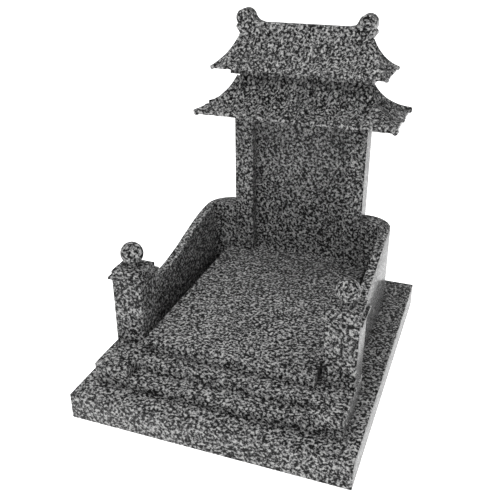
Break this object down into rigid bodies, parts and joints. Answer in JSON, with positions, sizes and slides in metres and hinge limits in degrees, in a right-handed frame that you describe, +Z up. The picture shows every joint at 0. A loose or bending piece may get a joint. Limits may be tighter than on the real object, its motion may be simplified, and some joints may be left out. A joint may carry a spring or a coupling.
{
  "type": "grave monument",
  "caption": "Stone grave monument: stepped plinth, posts with ball tops, curved side walls, grave cover and a recessed headstone under a tiered hipped tile roof.",
  "frame": {"origin": "centre of the base slab's underside, where it is cut flat at the ground", "axes": "+X to the right as seen from the steps, +Y from the steps to the headstone, +Z up"},
  "size_m": [1.2, 1.5025, 1.5117],
  "materials": {
    "grey_granite": "polished, coarse black and light grey speckle"
  },
  "bodies": {
    "root": {"base_slab": "grey_granite", "front_plinth": "grey_granite", "post_left": "grey_granite", "post_right": "grey_granite", "post_cap_left": "grey_granite", "post_cap_right": "grey_granite", "post_ball_left": "grey_granite", "post_ball_right": "grey_granite", "side_wall_left": "grey_granite", "side_wall_right": "grey_granite", "grave_cover": "grey_granite", "headstone": "grey_granite", "lower_roof": "grey_granite", "upper_roof": "grey_granite"}
  },
  "joints": []
}
